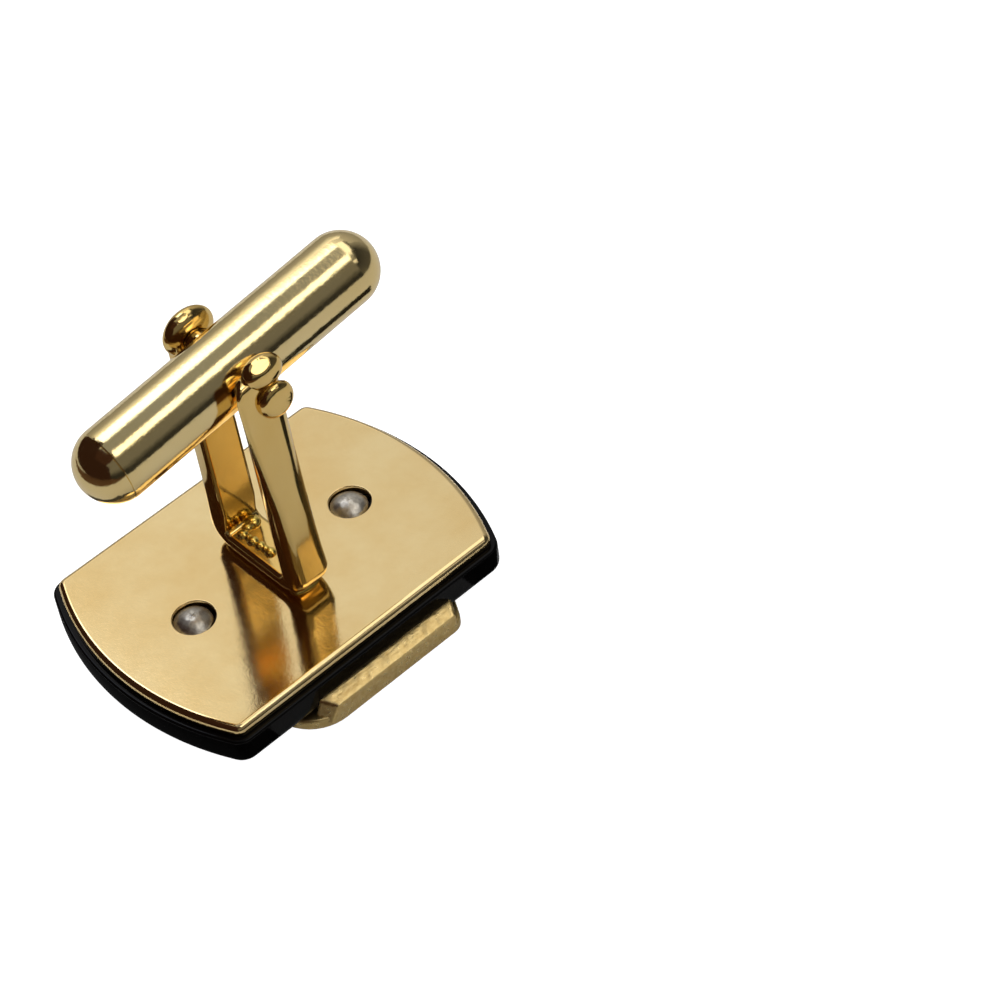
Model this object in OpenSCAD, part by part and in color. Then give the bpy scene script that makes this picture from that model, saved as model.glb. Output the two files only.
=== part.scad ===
// Bullet-back cufflink. A black face plate is held between a gold back plate and a
// front ornament. A U-shaped post stands on the back plate and carries a swivelling
// toggle on a riveted pin. The ornament lies face down at z = 0 and the post stands
// up, so +Z points from the front of the cufflink towards the wrist.

/* [Back plate] */
// Length between the crowns of the two bowed ends
plate_l = 20.4; // [18:0.1:23]
// Width across the two straight sides
plate_w = 14.6; // [13:0.1:18]
// Height of each bowed end over its corners
end_bow = 1.8; // [1:0.1:3]
// Radius of the four corners in plan
plate_corner_r = 0.6; // [0.4:0.05:1.5]
// Thickness of the back plate
plate_t = 0.6; // [0.4:0.05:0.8]
// Radius that rounds the upper edge of the back plate
plate_edge_r = 0.15; // [0.05:0.05:0.25]

/* [Face plate] */
// How far the face plate shows past the back plate all round
face_margin = 0.35; // [0.1:0.05:0.8]
// Thickness of the face plate
face_t = 1.75; // [1.2:0.05:2.5]
// Radius of the face plate's corners in plan
face_corner_r = 1; // [0.9:0.05:1.6]
// Radius that rounds its edge at the front
face_front_r = 0.6; // [0.2:0.05:0.8]
// Radius that rounds its edge under the back plate
face_back_r = 0.15; // [0.05:0.05:0.25]

/* [Front ornament] */
// Thickness of the panel that covers the front of the face plate
panel_t = 0.75; // [0.6:0.05:1.2]
// Black left bare past the panel at its round end, at -X
bare_round = 3.7; // [2:0.05:4]
// Black left bare past the panel at its square end, at +X
bare_square = 3.25; // [2:0.05:4]
// Radius of the panel's corners at the round end
round_corner_r = 2.5; // [1:0.1:3]
// Radius of the panel's corners at the square end
square_corner_r = 0.8; // [0.4:0.05:1]
// Radius that rounds the front edge of the panel
panel_edge_r = 0.25; // [0.1:0.05:0.4]
// Thickness of the lips that clasp the face plate's straight sides
lip_t = 0.85; // [0.5:0.05:1.2]
// Height of the lips over the panel
lip_h = 0.6; // [0.3:0.05:1]
// How far a lip's top falls towards its outer side
lip_fall = 0.18; // [0:0.02:0.24]
// Length of a lip's top, along the face plate
lip_l = 8.9; // [6:0.1:9]
// How far each end of a lip is cut back at its outer side
lip_cut = 0.5; // [0.2:0.05:0.8]
// How far a lip's foot reaches past its top, at the round end
lip_flare = 0.6; // [0.2:0.05:0.9]
// How far the lips stop short of the panel's square end
lip_inset = 0.3; // [0.1:0.05:0.5]

/* [Pegs] */
// Distance of each peg from the middle of the cufflink
peg_x = 5.25; // [4.5:0.05:6]
// Diameter of the pegs
peg_d = 1.77; // [1.4:0.01:2]
// Diameter of the holes in the back plate around the peg heads
peg_hole_d = 2.24; // [2.1:0.01:2.8]
// Height of the domed peg heads over the back plate
peg_rise = 0.1; // [0.05:0.05:0.3]
// Depth of the peg's seat in the ornament
peg_seat = 0.45; // [0.2:0.05:0.5]

/* [Post] */
// Width of the strip that the post is bent from
strip_w = 2.3; // [1.8:0.05:2.6]
// Thickness of the strip
strip_t = 1.05; // [0.9:0.05:1.3]
// Radius that rounds the strip's long edges at its inner side
inner_edge_r = 0.2; // [0.1:0.05:0.3]
// Radius that rounds the strip's long edges at its outer side
outer_edge_r = 0.45; // [0.2:0.05:0.5]
// Gap between the two arms
arm_gap = 4.4; // [4.1:0.05:5.2]
// Radius inside the two bends
bend_r = 0.3; // [0.2:0.05:0.6]
// Height of the pin's axis over the back plate
pin_rise = 13.8; // [12:0.1:16]
// How far the arm tips reach past the pin's axis
tip_reach = 2.15; // [1.6:0.05:2.4]
// Radius of the largest solder bead on the post's base
bead_r = 0.24; // [0.15:0.01:0.3]
// How far the solder under each bend reaches out from the flat of the base
fillet_l = 0.9; // [0.7:0.05:1.2]

/* [Pivot pin] */
// Diameter of the pin
pin_d = 1.5; // [1.2:0.05:1.6]
// Diameter of its peened heads
pin_head_d = 2; // [1.8:0.05:2.2]
// Height of the heads outside the arms
pin_head_h = 0.5; // [0.3:0.05:0.7]
// Length of the squared middle
cam_l = 2.6; // [2:0.1:2.8]

/* [Toggle] */
// Diameter of the toggle
toggle_d = 3.9; // [3.6:0.05:4]
// Length of the toggle between its round ends
toggle_l = 18.6; // [16:0.1:20]
// Wall of the toggle's barrel
barrel_wall = 0.32; // [0.25:0.01:0.4]
// Tilt of the toggle at rest, with its +X end up
rest_tilt = 7.4; // [0:0.1:20]
// Length of the end cap outside the barrel
cap_l = 1.6; // [1.3:0.05:1.7]
// Length of the end cap's spigot inside the barrel
cap_spigot_l = 1; // [0.6:0.1:1.4]
// Length of the plunger's body
plunger_l = 1.7; // [1.2:0.1:2.2]
// Diameter of the spring's wire
wire_d = 0.36; // [0.3:0.02:0.4]
// Turns of the spring
spring_turns = 5; // [4:1:6]

/* [Fits] */
// Radial clearance of pieces that are pressed or soldered together
seat_fit = 0.02; // [0.01:0.01:0.03]
// Radial clearance of the toggle on the pin and of the plunger in the barrel
run_fit = 0.05; // [0.03:0.01:0.08]

/* [Hidden] */
$fn = 96;

// Overrun of every cutting shape
cut = 1;

// Narrow flats that make up each rounded edge of a plate
edge_steps = 3;

// Heights of the stacked plates
face_z = panel_t;
plate_z = face_z + face_t;
top_z = plate_z + plate_t;

// The plates' ends are arcs of one circle over the back plate's width
end_r = (pow(plate_w / 2, 2) + pow(end_bow, 2)) / (2 * end_bow);
face_r = end_r + face_margin;
face_half_l = plate_l / 2 + face_margin;
face_half_w = plate_w / 2 + face_margin;

// The panel's ends follow the face plate's ends
panel_half_w = face_half_w + lip_t;
panel_round = face_half_l - bare_round;
panel_square = face_half_l - bare_square;
lip_end_x = panel_square - face_r + sqrt(pow(face_r, 2) - pow(face_half_w, 2)) - lip_inset;
lip_start_x = lip_end_x - lip_l;

// Radius of the peg heads' domes
peg_head_h = peg_d / 4;
peg_bore_r = peg_d / 2 + seat_fit;

// The post's strip, from the back plate to the tips
arm_y = (arm_gap + strip_t) / 2;
bend_y = arm_gap / 2 - bend_r;
bend_z = top_z + strip_t + bend_r;
pin_z = top_z + pin_rise;
tip_z = pin_z + tip_reach - strip_w / 2;
pin_r = pin_d / 2;
cam_half = pin_r * cos(45);

// The toggle's barrel, along its own axis from the pin
toggle_r = toggle_d / 2;
bore_r = toggle_r - barrel_wall;
barrel_half = toggle_l / 2 - toggle_r;
seam_l = toggle_l / 2 - cap_l;
plunger_r = bore_r - run_fit;
plunger_face = pin_r + run_fit;
plunger_back = plunger_face + plunger_l;
spring_seat = seam_l - cap_spigot_l;
spring_r = bore_r - run_fit - wire_d / 2;
stem_r = spring_r - wire_d / 2 - run_fit;
stem_l = plunger_l / 2;
wire_steps = 14;
wire_sides = 6;

// Solder beads on top of the base: place along and across it and size, as shares of the
// inner gap, of the strip's width and of the largest bead
bead_shares = [[0.37, 0.2, 1], [0.37, -0.2, 0.75], [0.2, -0.14, 1], [0.07, -0.17, 0.7],
    [-0.09, -0.13, 0.9]];

// Half profile of a plate's rim, with its lower and upper edges rounded
module rim_profile(r, z0, z1, low_r, high_r) {
    difference() {
        translate([0, z0])
            square([r, z1 - z0]);
        translate([r - low_r, z0 + low_r])
            rotate(-90)
                edge_waste(low_r);
        translate([r - high_r, z1 - high_r])
            edge_waste(high_r);
    }
}

// What a rounded edge takes off a square one
module edge_waste(r) {
    polygon(concat([[r + cut, 0], [r + cut, r + cut], [0, r + cut]],
        [for (a = [90 : -90 / edge_steps : 0]) [r * cos(a), r * sin(a)]]));
}

module rim_disc(r, z0, z1, low_r, high_r) {
    rotate_extrude()
        rim_profile(r, z0, z1, low_r, high_r);
}

module rim_bar(l, half_w, z0, z1, low_r, high_r) {
    rotate([90, 0, 90])
        linear_extrude(height = l, center = true) {
            rim_profile(half_w, z0, z1, low_r, high_r);
            mirror([1, 0])
                rim_profile(half_w, z0, z1, low_r, high_r);
        }
}

// What a corner's round takes off, at the +X, +Y corner
module corner_waste(crown, end_r, half_w, corner_r, z0, z1, low_r, high_r) {
    end_x = crown - end_r;
    cy = half_w - corner_r;
    cx = end_x + sqrt(pow(end_r - corner_r, 2) - pow(cy, 2));
    tip_x = end_x + sqrt(pow(end_r, 2) - pow(half_w, 2));
    out = (end_r + cut) / (end_r - corner_r);
    difference() {
        translate([0, 0, z0 - cut])
            linear_extrude(height = z1 - z0 + 2 * cut)
                polygon([[cx, cy], [cx, half_w + cut], [tip_x + cut, half_w + cut],
                    [end_x + (cx - end_x) * out, cy * out]]);
        translate([cx, cy, 0])
            rim_disc(corner_r, z0, z1, low_r, high_r);
    }
}

// A plate with straight sides and bowed ends, whose crowns lie at -minus and +plus
module barrel_plate(minus, plus, end_r, half_w, minus_corner, plus_corner, z0, z1, low_r, high_r) {
    difference() {
        intersection() {
            translate([plus - end_r, 0, 0])
                rim_disc(end_r, z0, z1, low_r, high_r);
            translate([end_r - minus, 0, 0])
                rim_disc(end_r, z0, z1, low_r, high_r);
            rim_bar(2 * (minus + plus), half_w, z0, z1, low_r, high_r);
        }
        for (side = [0, 1])
            mirror([0, side, 0]) {
                corner_waste(plus, end_r, half_w, plus_corner, z0, z1, low_r, high_r);
                mirror([1, 0, 0])
                    corner_waste(minus, end_r, half_w, minus_corner, z0, z1, low_r, high_r);
            }
    }
}

module at_pegs() {
    for (side = [-1, 1])
        translate([side * peg_x, 0, 0])
            children();
}

module back_plate() {
    color("#DCC384")
        difference() {
            barrel_plate(plate_l / 2, plate_l / 2, end_r, plate_w / 2, plate_corner_r,
                plate_corner_r, plate_z, top_z, plate_edge_r / 2, plate_edge_r);
            at_pegs()
                translate([0, 0, plate_z - cut])
                    cylinder(d = peg_hole_d, h = plate_t + 2 * cut);
        }
}

module face_plate() {
    color("#141414")
        difference() {
            barrel_plate(face_half_l, face_half_l, face_r, face_half_w, face_corner_r,
                face_corner_r, face_z, plate_z, face_front_r, face_back_r);
            at_pegs()
                translate([0, 0, face_z - cut])
                    cylinder(r = peg_bore_r, h = face_t + 2 * cut);
        }
}

// One lip, on the +Y side: cut back at its outer corners, with a flared foot at -X and a
// top that slopes outwards
module lip() {
    foot = panel_t / 2;
    lip_top = panel_t + lip_h;
    intersection() {
        translate([0, 0, foot])
            linear_extrude(height = lip_top - foot)
                polygon([[lip_start_x - lip_flare, face_half_w],
                    [lip_start_x - lip_flare + lip_cut, panel_half_w],
                    [lip_end_x - lip_cut, panel_half_w],
                    [lip_end_x, face_half_w]]);
        rotate([90, 0, 0])
            linear_extrude(height = 3 * panel_half_w, center = true)
                polygon([[lip_start_x - lip_flare, 0], [lip_start_x - lip_flare, panel_t],
                    [lip_start_x, lip_top], [lip_end_x, lip_top], [lip_end_x, 0]]);
        rotate([90, 0, 90])
            linear_extrude(height = 3 * panel_half_w, center = true)
                polygon([[face_half_w, 0], [face_half_w, lip_top],
                    [panel_half_w, lip_top - lip_fall], [panel_half_w, 0]]);
    }
}

module front_ornament() {
    color("#C9A95C")
        difference() {
            union() {
                barrel_plate(panel_round, panel_square, face_r, panel_half_w,
                    round_corner_r, square_corner_r, 0, panel_t, panel_edge_r,
                    panel_edge_r / 2);
                lip();
                mirror([0, 1, 0])
                    lip();
            }
            at_pegs()
                translate([0, 0, panel_t - peg_seat])
                    cylinder(r = peg_bore_r, h = peg_seat + cut);
        }
}

// Two pegs stand in the ornament and pass through both plates
module ornament_pegs() {
    peg_r = peg_d / 2;
    dome_r = (pow(peg_r, 2) + pow(peg_head_h, 2)) / (2 * peg_head_h);
    peg_top = top_z + peg_rise;
    color("#8C8882")
        at_pegs()
            intersection() {
                translate([0, 0, panel_t - peg_seat])
                    cylinder(r = peg_r, h = peg_top - panel_t + peg_seat);
                translate([0, 0, peg_top - dome_r])
                    sphere(r = dome_r);
            }
}

// Cross section of the post's strip, with its outer side at +Y
module strip_section() {
    square([strip_w - 2 * outer_edge_r, strip_t], center = true);
    translate([inner_edge_r - strip_w / 2, -strip_t / 2])
        square([strip_w - 2 * inner_edge_r, strip_t - outer_edge_r]);
    translate([-strip_w / 2, inner_edge_r - strip_t / 2])
        square([strip_w, strip_t - inner_edge_r - outer_edge_r]);
    for (side = [-1, 1]) {
        translate([side * (strip_w / 2 - outer_edge_r), strip_t / 2 - outer_edge_r])
            circle(r = outer_edge_r);
        translate([side * (strip_w / 2 - inner_edge_r), inner_edge_r - strip_t / 2])
            circle(r = inner_edge_r);
    }
}

// One arm with its bend and round tip, on the +Y side
module post_arm() {
    translate([0, bend_y, bend_z])
        rotate([0, 90, 0])
            rotate_extrude(angle = 90)
                translate([bend_r + strip_t / 2, 0])
                    rotate(-90)
                        strip_section();
    translate([0, arm_y, bend_z])
        linear_extrude(height = tip_z - bend_z)
            strip_section();
    translate([0, arm_y, tip_z])
        rotate([90, 0, 0])
            rotate_extrude(angle = 180)
                intersection() {
                    mirror([0, 1])
                        strip_section();
                    translate([0, -strip_t])
                        square([strip_w, 2 * strip_t]);
                }
}

module post() {
    color("#D9B45C")
        difference() {
            union() {
                translate([0, 0, top_z + strip_t / 2])
                    rotate([90, 0, 0])
                        linear_extrude(height = 2 * bend_y, center = true)
                            mirror([0, 1])
                                strip_section();
                post_arm();
                mirror([0, 1, 0])
                    post_arm();
            }
            translate([0, 0, pin_z])
                rotate([90, 0, 0])
                    cylinder(r = pin_r + seat_fit, h = arm_gap + 2 * strip_t + 2 * cut, center = true);
        }
}

// Solder in the wedge between the plate and the bend at +Y, with a sloped front
module solder_fillet() {
    bend_out = bend_r + strip_t;
    start = bend_out / 3;
    flat_w = strip_w - 2 * inner_edge_r;
    translate([-flat_w / 2, bend_y, top_z])
        rotate([90, 0, 90])
            linear_extrude(height = flat_w)
                difference() {
                    polygon([[start, 0], [fillet_l, 0], [start, fillet_l - start]]);
                    translate([0, bend_z - top_z])
                        circle(r = bend_out + seat_fit);
                }
}

// Solder under both bends, and beads of it that set on top of the base
module solder_beads() {
    color("#E3CB8E") {
        solder_fillet();
        mirror([0, 1, 0])
            solder_fillet();
        intersection() {
            union() {
                for (b = bead_shares)
                    translate([strip_w * b[1], arm_gap * b[0], top_z + strip_t])
                        sphere(r = bead_r * b[2]);
            }
            translate([-strip_w / 2, -arm_gap / 2, top_z + strip_t])
                cube([strip_w, arm_gap, 2 * bead_r]);
        }
    }
}

// Half profile of a domed rivet head that sits on the plane y = 0
module head_profile(r, h) {
    dome_r = (pow(r, 2) + pow(h, 2)) / (2 * h);
    intersection() {
        translate([0, h - dome_r])
            circle(r = dome_r);
        square([r, h]);
    }
}

// The pin is round in the arms, squared inside the toggle and peened outside
module pivot_pin() {
    shaft = arm_gap / 2 + strip_t;
    color("#C79A3E")
        translate([0, 0, pin_z])
            rotate([90, 0, 0]) {
                difference() {
                    rotate_extrude() {
                        translate([0, -shaft])
                            square([pin_r, 2 * shaft]);
                        translate([0, shaft])
                            head_profile(pin_head_d / 2, pin_head_h);
                        mirror([0, 1])
                            translate([0, shaft])
                                head_profile(pin_head_d / 2, pin_head_h);
                    }
                    for (turn = [0 : 90 : 270])
                        rotate([0, 0, turn + rest_tilt])
                            translate([cam_half, -pin_d / 2, -cam_l / 2])
                                cube([pin_d, pin_d, cam_l]);
                }
            }
}

// Puts a revolved half profile on the toggle's axis, tilted as at rest
module on_toggle() {
    translate([0, 0, pin_z])
        rotate([0, 90 - rest_tilt, 0])
            children();
}

// Half profile of a bar of radius r, that runs from back to the round end at +Y
module bullet_profile(r, back) {
    translate([0, back])
        square([r, barrel_half - back]);
    translate([0, barrel_half])
        intersection() {
            circle(r = r);
            square([r, r]);
        }
}

// Half profile of the closed toggle, between two heights
module toggle_profile(from, to) {
    intersection() {
        union() {
            bullet_profile(toggle_r, 0);
            mirror([0, 1])
                bullet_profile(toggle_r, 0);
        }
        translate([0, from])
            square([toggle_r, to - from]);
    }
}

module toggle_barrel() {
    color("#DDBB66")
        on_toggle()
            difference() {
                rotate_extrude()
                    difference() {
                        toggle_profile(-seam_l, toggle_l / 2);
                        bullet_profile(bore_r, -toggle_l / 2);
                    }
                rotate([90, 0, 0])
                    cylinder(r = pin_r + run_fit, h = toggle_d + 2 * cut, center = true);
            }
}

// The round cap that closes the barrel's open end
module toggle_end_cap() {
    color("#D2AA52")
        on_toggle()
            rotate_extrude() {
                toggle_profile(-toggle_l / 2, -seam_l);
                translate([0, -seam_l])
                    square([bore_r - seat_fit, cap_spigot_l]);
            }
}

// A slug that the spring presses on the pin's flats, which gives the toggle its click
module detent_plunger() {
    color("#B9BCC0")
        on_toggle()
            rotate_extrude() {
                translate([0, -plunger_back])
                    square([plunger_r, plunger_l]);
                translate([0, -plunger_back - stem_l])
                    square([stem_r, stem_l]);
            }
}

// A helical tube from z = from to z = to, whose ends touch those two planes
module helix_spring(r, wire_r, turns, from, to) {
    steps = turns * wire_steps;
    low = from + wire_r;
    rise = to - from - 2 * wire_r;
    slope = atan2(rise, 360 * turns / 180 * PI * r);
    ring = [for (s = [0 : steps], k = [0 : wire_sides - 1])
        let (a = 360 * turns * s / steps, b = 360 * k / wire_sides)
            [(r + wire_r * cos(b)) * cos(a) + wire_r * sin(b) * sin(slope) * sin(a),
                (r + wire_r * cos(b)) * sin(a) - wire_r * sin(b) * sin(slope) * cos(a),
                low + rise * s / steps + wire_r * sin(b) * cos(slope)]];
    last = steps * wire_sides;
    walls = [for (s = [0 : steps - 1], k = [0 : wire_sides - 1])
        let (n = (k + 1) % wire_sides, i = s * wire_sides, j = i + wire_sides)
            [i + k, j + k, j + n, i + n]];
    start = [[for (k = [0 : wire_sides - 1]) k]];
    end = [[for (k = [wire_sides - 1 : -1 : 0]) last + k]];
    polyhedron(points = ring, faces = concat(walls, start, end), convexity = 10);
}

module detent_spring() {
    color("#9DA0A4")
        on_toggle()
            helix_spring(spring_r, wire_d / 2, spring_turns, -spring_seat, -plunger_back);
}

back_plate();
face_plate();
front_ornament();
ornament_pegs();
post();
solder_beads();
pivot_pin();
toggle_barrel();
toggle_end_cap();
detent_plunger();
detent_spring();
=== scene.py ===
"""A bullet-back cufflink, standing on its front with its post and toggle up.

Every new piece is modelled at one unit to the millimetre, where the solid that it stands for is, and is
shrunk to metres when it is finished. Sizes that the frame holds are read from it."""

import math

import bmesh
import bpy
from mathutils import Euler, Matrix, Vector


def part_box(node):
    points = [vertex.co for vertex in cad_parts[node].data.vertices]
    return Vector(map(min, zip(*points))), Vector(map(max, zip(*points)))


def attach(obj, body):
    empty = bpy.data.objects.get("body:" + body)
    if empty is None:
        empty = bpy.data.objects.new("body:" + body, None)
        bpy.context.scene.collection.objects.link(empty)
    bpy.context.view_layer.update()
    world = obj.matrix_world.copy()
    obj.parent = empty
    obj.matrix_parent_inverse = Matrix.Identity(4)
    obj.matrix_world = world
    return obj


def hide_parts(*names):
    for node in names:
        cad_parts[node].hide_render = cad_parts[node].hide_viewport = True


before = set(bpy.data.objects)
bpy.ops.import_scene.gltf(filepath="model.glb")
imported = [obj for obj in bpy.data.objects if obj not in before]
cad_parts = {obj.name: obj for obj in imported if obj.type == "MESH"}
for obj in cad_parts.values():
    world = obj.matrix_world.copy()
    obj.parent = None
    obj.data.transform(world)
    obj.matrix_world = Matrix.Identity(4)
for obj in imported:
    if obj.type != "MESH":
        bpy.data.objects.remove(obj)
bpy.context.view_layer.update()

MM = 0.001


def span(node):
    """The lowest and highest corners of a solid, in millimetres."""
    low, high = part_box(node)
    return low / MM, high / MM


plate_low, plate_high = span("back_plate")
face_low, face_high = span("face_plate")
panel_low, panel_high = span("front_ornament")
post_low, post_high = span("post")
pin_low, pin_high = span("pivot_pin")
peg_low, peg_high = span("ornament_pegs")
_, barrel_high = span("toggle_barrel")

# Plates, in millimetres. Their ends are arcs, and the back plate's bow sets the radius for all of them
END_BOW = 1.8
PLATE_CORNER_R = 0.6
PLATE_EDGE_R = 0.36
PLATE_FRONT_R = 0.09
HOLE_EDGE_R = 0.06
FACE_CORNER_R = 1.0
FACE_FRONT_R = 0.6
FACE_BACK_R = 0.15
PANEL_T = 0.75
ROUND_CORNER_R = 2.5
SQUARE_CORNER_R = 0.8
PANEL_EDGE_R = 0.25
PLATE_HALF_W = plate_high.y
PLATE_END_R = (PLATE_HALF_W ** 2 + END_BOW ** 2) / (2 * END_BOW)
FACE_END_R = PLATE_END_R + face_high.x - plate_high.x
PLATE_TOP = plate_high.z

# The lips that clasp the face plate. Filing and fine dents take their tops down, so they start higher
LIP_T = panel_high.y - face_high.y
LIP_SPARE = 0.2
LIP_TOP = panel_high.z + LIP_SPARE
LIP_END_X = 5.06
LIP_START_X = -3.84
LIP_FLARE = 0.6
LIP_CUT = 0.5
LIP_FALL = 0.18
LIP_EDGE_R = 0.1
LIP_GRAIN = 0.09
LIP_DENT_GAP = 5 * LIP_GRAIN
LIP_DENTS = 0.6 * LIP_GRAIN

# Pegs
PEG_X = 5.25
PEG_R = 1.77 / 2
PEG_HOLE_R = 2.24 / 2
PEG_HEAD_R = 1.0
PEG_HEAD_H = 0.44
PEG_SHIFT = (-0.07, 0.04, 0.12)
PEG_DENTS = 0.02

# The post
STRIP_W = post_high.x - post_low.x
STRIP_T = 1.05
INNER_EDGE_R = 0.28
OUTER_EDGE_R = 0.6
ARM_LEAN = math.radians(1.5)
HEEL_FLARE = 0.32
FAR_LEAN = math.radians(1.0)
ARM_Y = post_high.y - STRIP_T / 2
BEND_R = 0.3
BEND_Y = post_high.y - STRIP_T - BEND_R
BEND_Z = PLATE_TOP + STRIP_T + BEND_R
PIN_Z = (pin_low.z + pin_high.z) / 2
TIP_R = STRIP_W / 2
TIP_Z = 17.2
TIP_STEPS = 10
TIP_POWER = 0.5
TIP_END_SHARE = 0.02
FAR_TIP_SHARE = 0.75

# The balls that the ends were peened to: middle, width, height, and how far out the hammer's facet lies
BALL_T = 1.42
NEAR_BALL = ((-0.05, -ARM_Y - 0.07, 18.27), 2.25, 1.76, 0.86)
FAR_BALL = ((0.03, ARM_Y + 0.27, 17.25), 2.95, 2.56, 0.98)
FACET = (-0.15, -0.52, 0.84)
FACET_SOFT = 0.14

# The pin. The near head was peened lower than its shank
PIN_R = 0.75
PIN_FIT = 0.02
PIN_HEAD_ROUND_R = 0.42
PIN_HEAD_UNDERCUT = 0.04
PIN_HEAD_SHIFT = (0.05, 0, -0.15)
PIN_DENTS = 0.008

# The arm at some heights: how round its outer edges are at -X and +X, against OUTER_EDGE_R, how far the near
# arm's edge at -X is pushed out, and how far the outer face and the far arm's inner face stand out
ARM_RINGS = (
    (BEND_Z, 1, 1, 0, HEEL_FLARE, 0),
    (5.6, 1, 1.25, 0, 0.24, 0.2),
    (7.2, 1, 1.4, 0, 0.17, 0.18),
    (9.5, 0.9, 1.5, 0.03, 0.12, 0.14),
    (12.5, 0.55, 1.5, 0.2, 0.07, 0.08),
    (15.0, 0.4, 1.4, 0.35, 0.03, 0.04),
    (TIP_Z, 0.35, 1.2, 0.4, 0, 0),
)

# Solder in the wedge under each bend: half its length, width and height, and its place past the bend's start
WEDGE_HALF = (0.95, 0.5, 0.3)
WEDGE_OUT = 0.62
WEDGE_FIT = 0.02

# Solder beads on the base: place across and along it, and radius
BEADS = (
    (0.42, 1.88, 0.46),
    (0, 1.8, 0.3),
    (-0.48, 1.6, 0.34),
    (-0.4, 1.2, 0.24),
    (-0.42, 0.85, 0.33),
    (-0.38, 0.3, 0.3),
    (-0.34, -0.05, 0.24),
    (-0.32, -0.42, 0.33),
)

BEAD_FLAT_SHARE = 0.7

# Toggle
TOGGLE_R = barrel_high.y
BARREL_WALL = 0.32
BARREL_HALF = 7.35
SEAM_HALF = 7.7
SEAM_R = math.sqrt(TOGGLE_R ** 2 - (SEAM_HALF - BARREL_HALF) ** 2)
SEAM_CUT = 0.04
REST_TILT = math.radians(7.4)
CAP_SPIGOT_L = 1.0
CAP_FIT = 0.02
RUN_FIT = 0.05

# The camera, fitted to the photograph
CAMERA_PLACE = (-0.0535, -0.08853, 0.11348)
CAMERA_AIM = (0.42071, 0.54419, -0.72585)
CAMERA_ROLL = math.radians(-8.09)
LENS = 106.99
SENSOR = 36.0

ARC_STEPS = 40
CORNER_STEPS = 8
TOGGLE_STEPS = 96
QUARTER = math.pi / 2
DRILL_L = 6
WELD = 0.0005
NEAR = 0.001


# Modelling by hand, one operator at a time


def deselect():
    for obj in bpy.context.selected_objects:
        obj.select_set(False)


def select(obj):
    """Selects one object and no other."""
    deselect()
    obj.select_set(True)
    bpy.context.view_layer.objects.active = obj


def edit(obj):
    """Opens one object for editing, with nothing in it selected."""
    select(obj)
    bpy.ops.object.mode_set(mode="EDIT")
    bpy.ops.mesh.select_mode(type="VERT")
    bpy.ops.mesh.select_all(action="DESELECT")


def close():
    bpy.ops.object.mode_set(mode="OBJECT")


def apply_place():
    """Moves the active object's place, turn and size into its mesh."""
    bpy.ops.object.transform_apply(location=True, rotation=True, scale=True)


def primitive(add, name, **shape):
    """Adds a primitive to be shaped further."""
    deselect()
    add(**shape)
    obj = bpy.context.object
    obj.name = obj.data.name = name
    return obj


def pick(obj, kind, test):
    """In an open object, selects the vertices, edges or faces whose middle and direction pass a test."""
    bpy.ops.mesh.select_mode(type=kind)
    bpy.ops.mesh.select_all(action="DESELECT")
    mesh = bmesh.from_edit_mesh(obj.data)
    if kind == "VERT":
        for v in mesh.verts:
            v.select_set(test(v.co, v.normal))
    elif kind == "EDGE":
        for e in mesh.edges:
            a, b = e.verts[0].co, e.verts[1].co
            e.select_set(test((a + b) / 2, (b - a).normalized()))
    else:
        for f in mesh.faces:
            f.select_set(test(f.calc_center_median(), f.normal))
    bmesh.update_edit_mesh(obj.data)


def modify(obj, kind, **settings):
    """Adds a modifier and applies it."""
    select(obj)
    modifier = obj.modifiers.new(kind.lower(), kind)
    for name, value in settings.items():
        setattr(modifier, name, value)
    bpy.ops.object.modifier_apply(modifier=modifier.name)


def boolean(obj, tool, operation="DIFFERENCE"):
    """Joins a tool to an object or cuts it away, and deletes the tool."""
    modify(obj, "BOOLEAN", object=tool, operation=operation, solver="EXACT")
    bpy.data.objects.remove(tool)


def join(obj, *others):
    """Makes several objects one mesh."""
    deselect()
    for other in (obj, *others):
        other.select_set(True)
    bpy.context.view_layer.objects.active = obj
    bpy.ops.object.join()


def heal(obj):
    """Merges doubled vertices and turns every face outwards."""
    edit(obj)
    bpy.ops.mesh.select_all(action="SELECT")
    bpy.ops.mesh.remove_doubles(threshold=WELD)
    bpy.ops.mesh.normals_make_consistent(inside=False)
    close()


def point(name, place):
    """A mesh of one vertex, left open for editing."""
    obj = primitive(bpy.ops.mesh.primitive_plane_add, name, size=1)
    edit(obj)
    bpy.ops.mesh.select_all(action="SELECT")
    bpy.ops.mesh.merge(type="CENTER")
    bpy.ops.transform.translate(value=place)
    return obj


def draw_to(step):
    """Extrudes what is selected by a step."""
    bpy.ops.mesh.extrude_region_move(TRANSFORM_OT_translate={"value": step})


def lathe(steps, centre=(0, 0, 0), axis=(0, 0, 1)):
    """Spins the open profile all the way round and closes the object."""
    bpy.ops.mesh.select_all(action="SELECT")
    bpy.ops.mesh.spin(steps=steps, angle=2 * math.pi, center=centre, axis=axis)
    close()


def finish_piece(obj, material, body, slot, *nodes, smooth=35):
    """Heals a finished piece, shrinks it to metres and puts it on its body."""
    heal(obj)
    obj.scale = (MM, MM, MM)
    apply_place()
    bpy.ops.object.shade_smooth_by_angle(angle=math.radians(smooth))
    modify(obj, "WEIGHTED_NORMAL", keep_sharp=True)
    obj.data.materials.clear()
    obj.data.materials.append(material)
    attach(obj, body)
    if nodes:
        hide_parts(*nodes)
    return obj


def swept_corner(centre, turn):
    """Spins the end of an open outline round a corner."""
    bpy.ops.mesh.spin(steps=CORNER_STEPS, angle=turn, center=(*centre, 0), axis=(0, 0, 1))


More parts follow.
